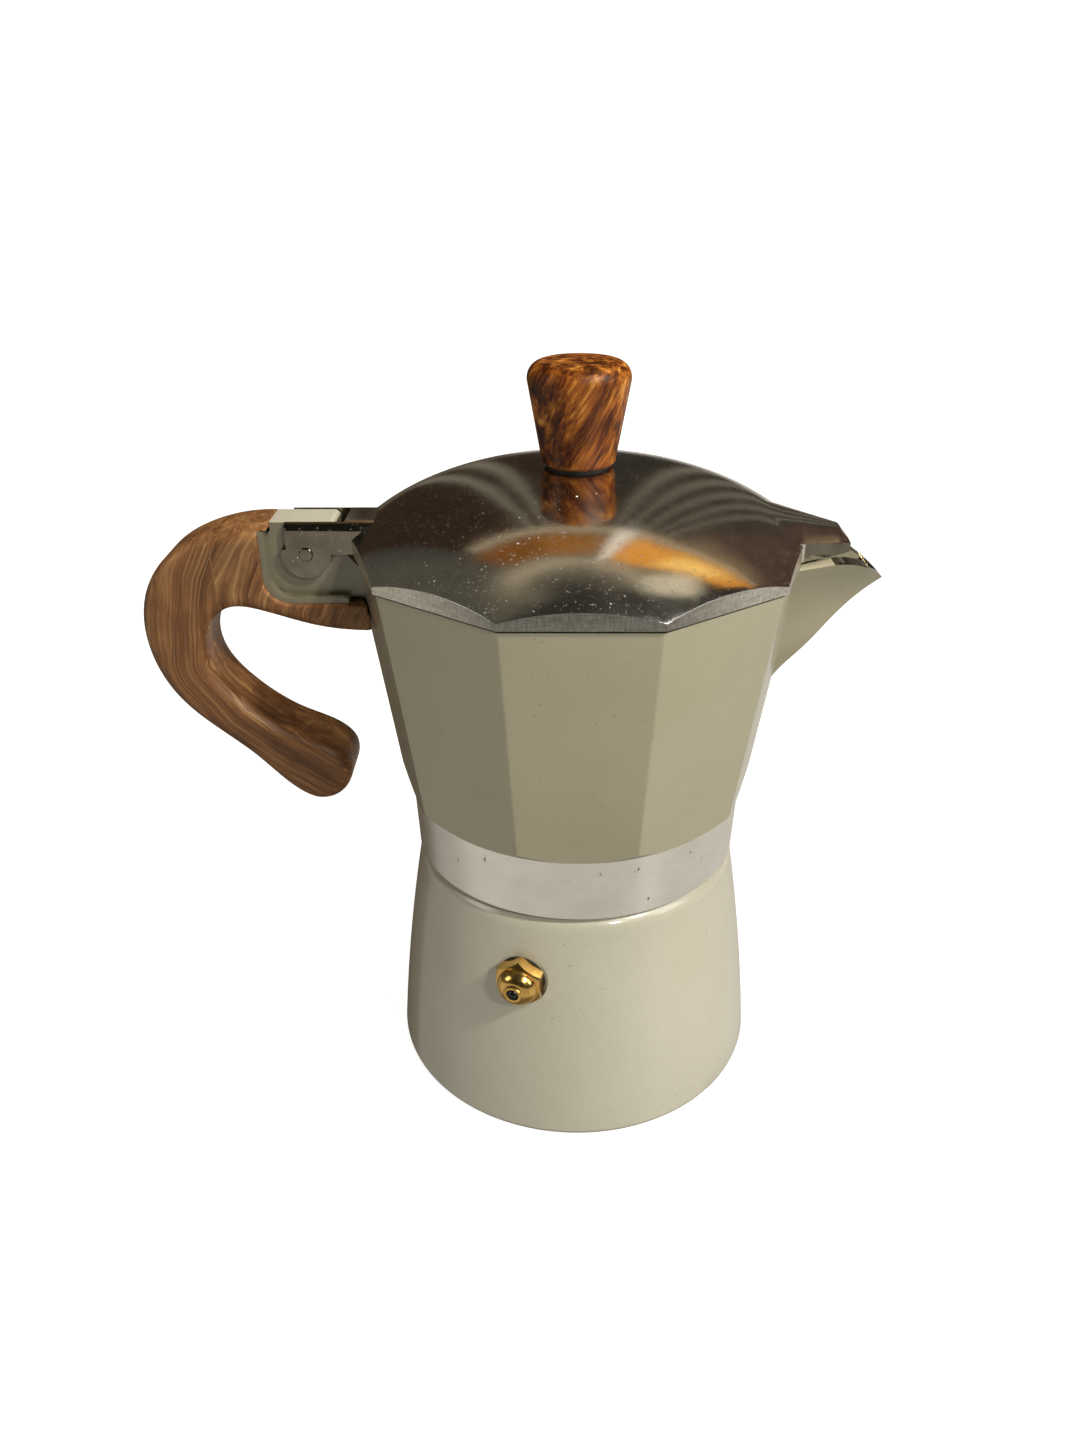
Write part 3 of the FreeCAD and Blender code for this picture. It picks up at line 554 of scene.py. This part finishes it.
def handle():
    """Evenly meshed and softened hook that carries its grain coordinates on each vertex."""
    piece = clean_copy("handle_grip", "handle")
    remesh = piece.modifiers.new("even_mesh", "REMESH")
    remesh.mode = "VOXEL"
    remesh.voxel_size = 0.4 * MM
    relax = piece.modifiers.new("soften", "SMOOTH")
    relax.factor = 0.5
    relax.iterations = 4
    apply_modifiers(piece)
    count = len(piece.data.vertices)
    points = np.empty(count * 3)
    piece.data.vertices.foreach_get("co", points)
    grain = grain_coordinates(points.reshape(-1, 3))
    store = piece.data.attributes.new("grain", "FLOAT_VECTOR", "POINT")
    store.data.foreach_set("vector", grain.astype(np.float32).ravel())
    piece.data.materials.append(WOOD_HANDLE)
    piece.data.shade_smooth()
    return stand_for(piece, "handle_grip")


def plain_nodes():
    """CAD nodes that keep their own mesh and only get a finished material."""
    finish = {
        "lid_knob": WOOD_KNOB,
        "valve_body": BRASS, "knob_insert": BRASS,
        "valve_pin": DARK_STEEL, "hinge_pin": DARK_ALUMINIUM,
        "handle_screw": STEEL, "handle_washer": STEEL, "knob_screw": STEEL,
        "valve_retainer": STEEL, "valve_spring": STEEL,
        "valve_washer": BLACK_RUBBER, "knob_washer": BLACK_RUBBER, "gasket": SILICONE,
        "filter_plate": SATIN, "coffee_column": SATIN,
        "funnel_basket": SATIN, "funnel_tube": SATIN, "funnel_strainer": SATIN,
    }
    for node, material in finish.items():
        mesh = frame["nodes"][node].data
        mesh.materials.clear()
        mesh.materials.append(material)


boiler()
collector()
lid()
handle()
plain_nodes()


# ---- camera ---------------------------------------------------------------------------------
CAMERA_AZIMUTH = math.radians(1.14)
CAMERA_ELEVATION = math.radians(28.04)
CAMERA_ROLL = math.radians(-0.43)
CAMERA_DISTANCE = 251.46 * MM
AIM_X = -7.94 * MM              # the camera looks at this point
AIM_Z = 82.02 * MM
SENSOR = 36.0
FOCAL_PER_HEIGHT = 0.79297      # focal length as a share of the frame's long side


def add_camera():
    """Camera at the photograph's viewing angle."""
    data = bpy.data.cameras.new("camera")
    data.sensor_width = SENSOR
    data.lens = FOCAL_PER_HEIGHT * SENSOR
    data.clip_start = 0.01
    camera = bpy.data.objects.new("camera", data)
    scene.collection.objects.link(camera)
    back = Vector((math.sin(CAMERA_AZIMUTH) * math.cos(CAMERA_ELEVATION),
                   -math.cos(CAMERA_AZIMUTH) * math.cos(CAMERA_ELEVATION),
                   math.sin(CAMERA_ELEVATION)))
    aim = Vector((AIM_X * math.cos(CAMERA_AZIMUTH), AIM_X * math.sin(CAMERA_AZIMUTH), AIM_Z))
    turn = back.to_track_quat("Z", "Y").to_matrix() @ Matrix.Rotation(CAMERA_ROLL, 3, "Z")
    camera.matrix_world = Matrix.Translation(aim + back * CAMERA_DISTANCE) @ turn.to_4x4()
    scene.camera = camera


# ---- studio ---------------------------------------------------------------------------------
def add_area(name, place, aim, size, power, colour):
    """Rectangular soft light that the camera doesn't see, aimed at a point."""
    data = bpy.data.lights.new(name, "AREA")
    data.shape = "RECTANGLE"
    data.size, data.size_y = size
    data.energy = power
    data.color = colour
    light = bpy.data.objects.new(name, data)
    scene.collection.objects.link(light)
    light.location = place
    light.rotation_euler = (Vector(aim) - Vector(place)).to_track_quat("-Z", "Y").to_euler()
    light.visible_camera = False
    return light


def add_floor():
    """Pale floor that curves up into a pale wall all round."""
    radius, bend, height, steps, bend_steps = 1.6, 0.4, 1.6, 96, 8
    profile = [(radius - bend, 0.0)]
    for i in range(1, bend_steps + 1):
        angle = math.radians(90.0 * i / bend_steps)
        profile.append((radius - bend + bend * math.sin(angle), bend - bend * math.cos(angle)))
    profile.append((radius, height))
    work = bmesh.new()
    rows = []
    for r, z in profile:
        row = []
        for k in range(steps):
            angle = 2 * math.pi * k / steps
            row.append(work.verts.new((r * math.cos(angle), r * math.sin(angle), z)))
        rows.append(row)
    work.faces.new(rows[0])
    for lower, upper in zip(rows, rows[1:]):
        for k in range(steps):
            n = (k + 1) % steps
            work.faces.new((lower[k], upper[k], upper[n], lower[n]))
    mesh = bpy.data.meshes.new("floor")
    work.to_mesh(mesh)
    work.free()
    mesh.shade_smooth()
    floor = bpy.data.objects.new("floor", mesh)
    scene.collection.objects.link(floor)
    s = Shader("floor", roughness=0.9)
    speckle = s.noise(s.place(), 0.02, 2, 0.5)
    s.to("Base Color", s.ramp(speckle, (0.3, 0.33), (0.7, 0.36)))
    s.surface.inputs["Emission Color"].default_value = (1, 1, 1, 1)
    s.surface.inputs["Emission Strength"].default_value = 0.92
    mesh.materials.append(s.material)
    floor.visible_glossy = False
    floor.visible_diffuse = False


# Patches of the room, painted in this order: name, colour, azimuth and elevation as
# (low, high, edge) in degrees, strength, and whether the patch sinks to the right.
# Azimuth 0 is behind the pot, positive to the right.
ALL_ROUND = (-400, 400, 1)
DARK_ROOM = (0.036, 0.034, 0.029, 1)
ROOM = [
    ("left wall", (0.095, 0.088, 0.068), (-135, -44, 12), (-10, 68, 7), 1.0, False),
    ("brown curtain", (0.036, 0.021, 0.013), (-41, -2, 2), (-10, 54, 3), 1.0, False),
    ("curtain ground", (0.034, 0.029, 0.020), (6, 34, 2), (-10, 54, 2), 1.0, False),
    ("red-brown wall", (0.085, 0.052, 0.038), (33, 85, 3), (-10, 54, 3), 1.0, True),
    ("wall under the shade", (0.24, 0.17, 0.10), (33, 60, 6), (44, 54, 5), 0.8, True),
    ("curtain folds", (0.18, 0.16, 0.12), (9, 31, 1.5), (-10, 51, 3), 1.0, False),
    ("left fold", (0.23, 0.21, 0.155), (-13.3, -11.3, 1.0), (-10, 52, 3), 1.0, False),
    ("second left fold", (0.21, 0.19, 0.14), (-8.8, -6.8, 1.0), (-10, 52, 3), 1.0, False),
    ("ceiling glow", (0.17, 0.145, 0.10), (-115, 78, 20), (64, 82, 6), 1.0, False),
    ("bright glow", (0.50, 0.42, 0.28), (-75, 64, 26), (69, 75, 3.5), 0.85, False),
    ("right glow", (0.85, 0.74, 0.53), (58, 84, 6), (56, 72, 4), 0.9, False),
    ("shade's lower rim", (0.50, 0.41, 0.27), (-39, 66, 4), (51.3, 54.7, 1.6), 1.0, True),
    ("dim end of the shade", (0.24, 0.085, 0.015), (-43, -5, 6), (55.5, 67, 1.8), 1.0, False),
    ("shade, left", (0.33, 0.13, 0.022), (-14, 12.5, 5), (55.5, 67, 1.8), 1.0, False),
    ("shade, right", (0.95, 0.38, 0.05), (19.5, 71, 2.5), (55, 69, 2.0), 1.0, True),
    ("lamp in the shade", (1.35, 0.84, 0.22), (43, 62, 5), (57.5, 67, 3), 1.0, True),
    ("gap in the shade", (1.05, 0.96, 0.80), (12.8, 19, 1.4), (52, 70, 3), 1.0, False),
    ("right window", (4.6, 4.5, 4.2), (100, 122, 4), (14, 40, 5), 1.0, False),
    ("left window", (3.8, 3.7, 3.4), (-120, -100, 4), (14, 38, 5), 1.0, False),
    ("table, near", (0.20, 0.185, 0.16), ALL_ROUND, (-95, -5, 3), 1.0, False),
    ("table, far", (0.63, 0.595, 0.525), ALL_ROUND, (-49, -5, 3), 1.0, False),
    ("lit table", (0.86, 0.82, 0.74), (118, 132, 3), (-49, -5, 3), 1.0, False),
    ("shaded table", (0.37, 0.345, 0.30), (-92, -50, 10), (-49, -5, 3), 1.0, False),
    ("dark thing on the table", (0.11, 0.088, 0.06), (-54, -3, 1.5), (-60, -3, 3), 1.0, False),
]


def add_world():
    """Dim warm room that gives the reflections and the fill light."""
    world = bpy.data.worlds.new("studio")
    scene.world = world
    world.use_nodes = True
    tree = world.node_tree

    def node(kind, **settings):
        made = tree.nodes.new("ShaderNode" + kind)
        for key, value in settings.items():
            setattr(made, key, value)
        return made

    def put(socket, value):
        if isinstance(value, bpy.types.NodeSocket):
            tree.links.new(value, socket)
        else:
            socket.default_value = value

    def calc(operation, a, b=0.0):
        made = node("Math", operation=operation)
        put(made.inputs[0], a)
        put(made.inputs[1], b)
        return made.outputs[0]

    def rise(value, low, high):
        made = node("MapRange", interpolation_type="SMOOTHSTEP")
        put(made.inputs["Value"], value)
        made.inputs["From Min"].default_value = low
        made.inputs["From Max"].default_value = high
        return made.outputs["Result"]

    def window(value, low, high, edge):
        """1 between two values, fading to 0 over an edge on each side."""
        return calc("MULTIPLY", rise(value, low - edge, low + edge),
                    calc("SUBTRACT", 1.0, rise(value, high - edge, high + edge)))

    def patch(room, colour, across, upright, strength, height):
        """Paint a soft-edged patch over the room so far."""
        shape = calc("MULTIPLY", window(azimuth, *across), window(height, *upright))
        made = node("Mix", data_type="RGBA")
        put(made.inputs["Factor"], calc("MULTIPLY", shape, strength))
        put(made.inputs[6], room)
        put(made.inputs[7], colour + (1,))
        return made.outputs[2]

    split = node("SeparateXYZ")
    put(split.inputs[0], node("TexCoord").outputs["Generated"])
    x, y, z = split.outputs
    azimuth = calc("DEGREES", calc("ARCTAN2", x, y))
    elevation = calc("DEGREES", calc("ARCSINE", z))

    sink_from, sink = 30.0, 0.012
    past = calc("MAXIMUM", calc("SUBTRACT", azimuth, sink_from), 0.0)
    bent = calc("ADD", elevation, calc("MULTIPLY", calc("MULTIPLY", past, past), sink))
    fold_start, fold_phase = 10.1, 86.0     # degrees; degrees of phase per degree of azimuth
    turned = calc("MULTIPLY", calc("SUBTRACT", azimuth, fold_start), fold_phase)
    folds = rise(calc("SINE", calc("RADIANS", turned)), -0.9, 1.0)
    room = DARK_ROOM
    for name, colour, across, upright, strength, sinks in ROOM:
        amount = folds if name == "curtain folds" else strength
        room = patch(room, colour, across, upright, amount, bent if sinks else elevation)
    background = tree.nodes["Background"]
    put(background.inputs["Color"], room)
    background.inputs["Strength"].default_value = 1.0


add_camera()
add_floor()
add_world()
middle = (0.0, 0.0, 0.09)
warm = (1.0, 0.95, 0.86)
add_area("key", (0.680, -0.543, 0.96), middle, (0.10, 0.10), 10.6, warm)
add_area("lamp", (0.33, -0.60, 0.54), middle, (0.04, 0.04), 1.75, warm)
above = add_area("ceiling", (0.12, -0.05, 0.95), middle, (0.12, 0.12), 3.0, (1.0, 0.95, 0.88))
above.visible_glossy = False
back = add_area("back_fill", (-0.10, 0.85, 0.45), middle, (0.3, 0.3), 2.4, (1.0, 0.96, 0.90))
back.visible_glossy = False
scene.view_settings.view_transform = "Standard"
